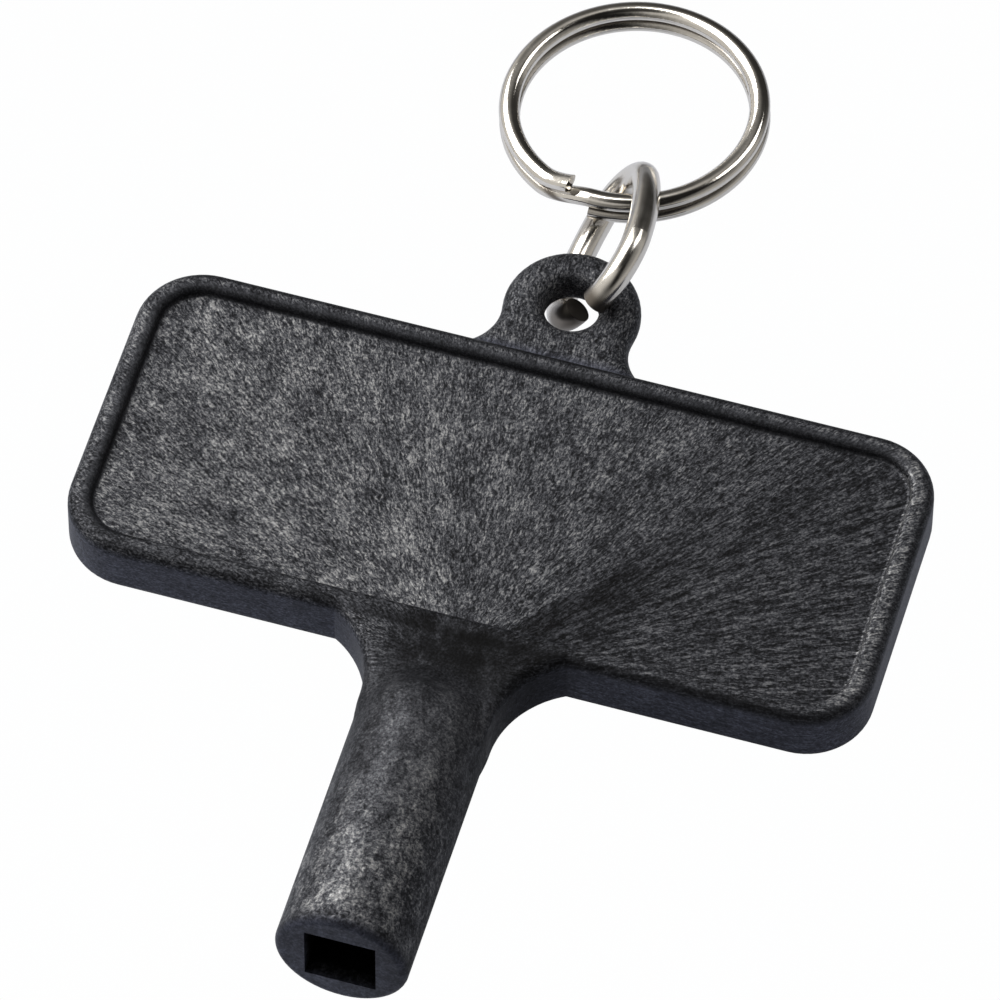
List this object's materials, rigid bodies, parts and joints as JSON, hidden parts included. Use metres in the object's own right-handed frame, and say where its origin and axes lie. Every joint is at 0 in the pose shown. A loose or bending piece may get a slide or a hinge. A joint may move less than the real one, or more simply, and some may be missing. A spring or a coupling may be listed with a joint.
{
  "type": "radiator bleed key",
  "caption": "T-handled plastic bleed key: flat oblong handle with rimmed panels, round shank with a square socket, hanging ear, wire link and split key ring.",
  "frame": {"origin": "centre of the square socket's mouth, on the shank's axis", "axes": "+Y along the shank from the socket mouth to the hanging ear and ring, +X across the handle, +Z out of the handle's upper face"},
  "size_m": [0.06, 0.0876, 0.0104],
  "materials": {
    "black_plastic": "moulded charcoal-black filled plastic with fine pale flow streaks",
    "nickel_plate": "bright nickel plating on steel wire"
  },
  "bodies": {
    "key": {"key_body": "black_plastic"},
    "link": {"link": "nickel_plate"},
    "ring": {"split_ring": "nickel_plate"}
  },
  "joints": [
    {"name": "link_swing", "type": "hinge", "parent": "key", "child": "link", "pos_m": [0.00062, 0.05832, -0.00015], "axis": [0.1961, 0, 0.9806], "range_deg": [-55, 55]},
    {"name": "ring_swing", "type": "hinge", "parent": "link", "child": "ring", "pos_m": [0.00079, 0.06835, -0.00013], "axis": [0.9839, 0.173, 0.045], "range_deg": [-85, 85]}
  ]
}
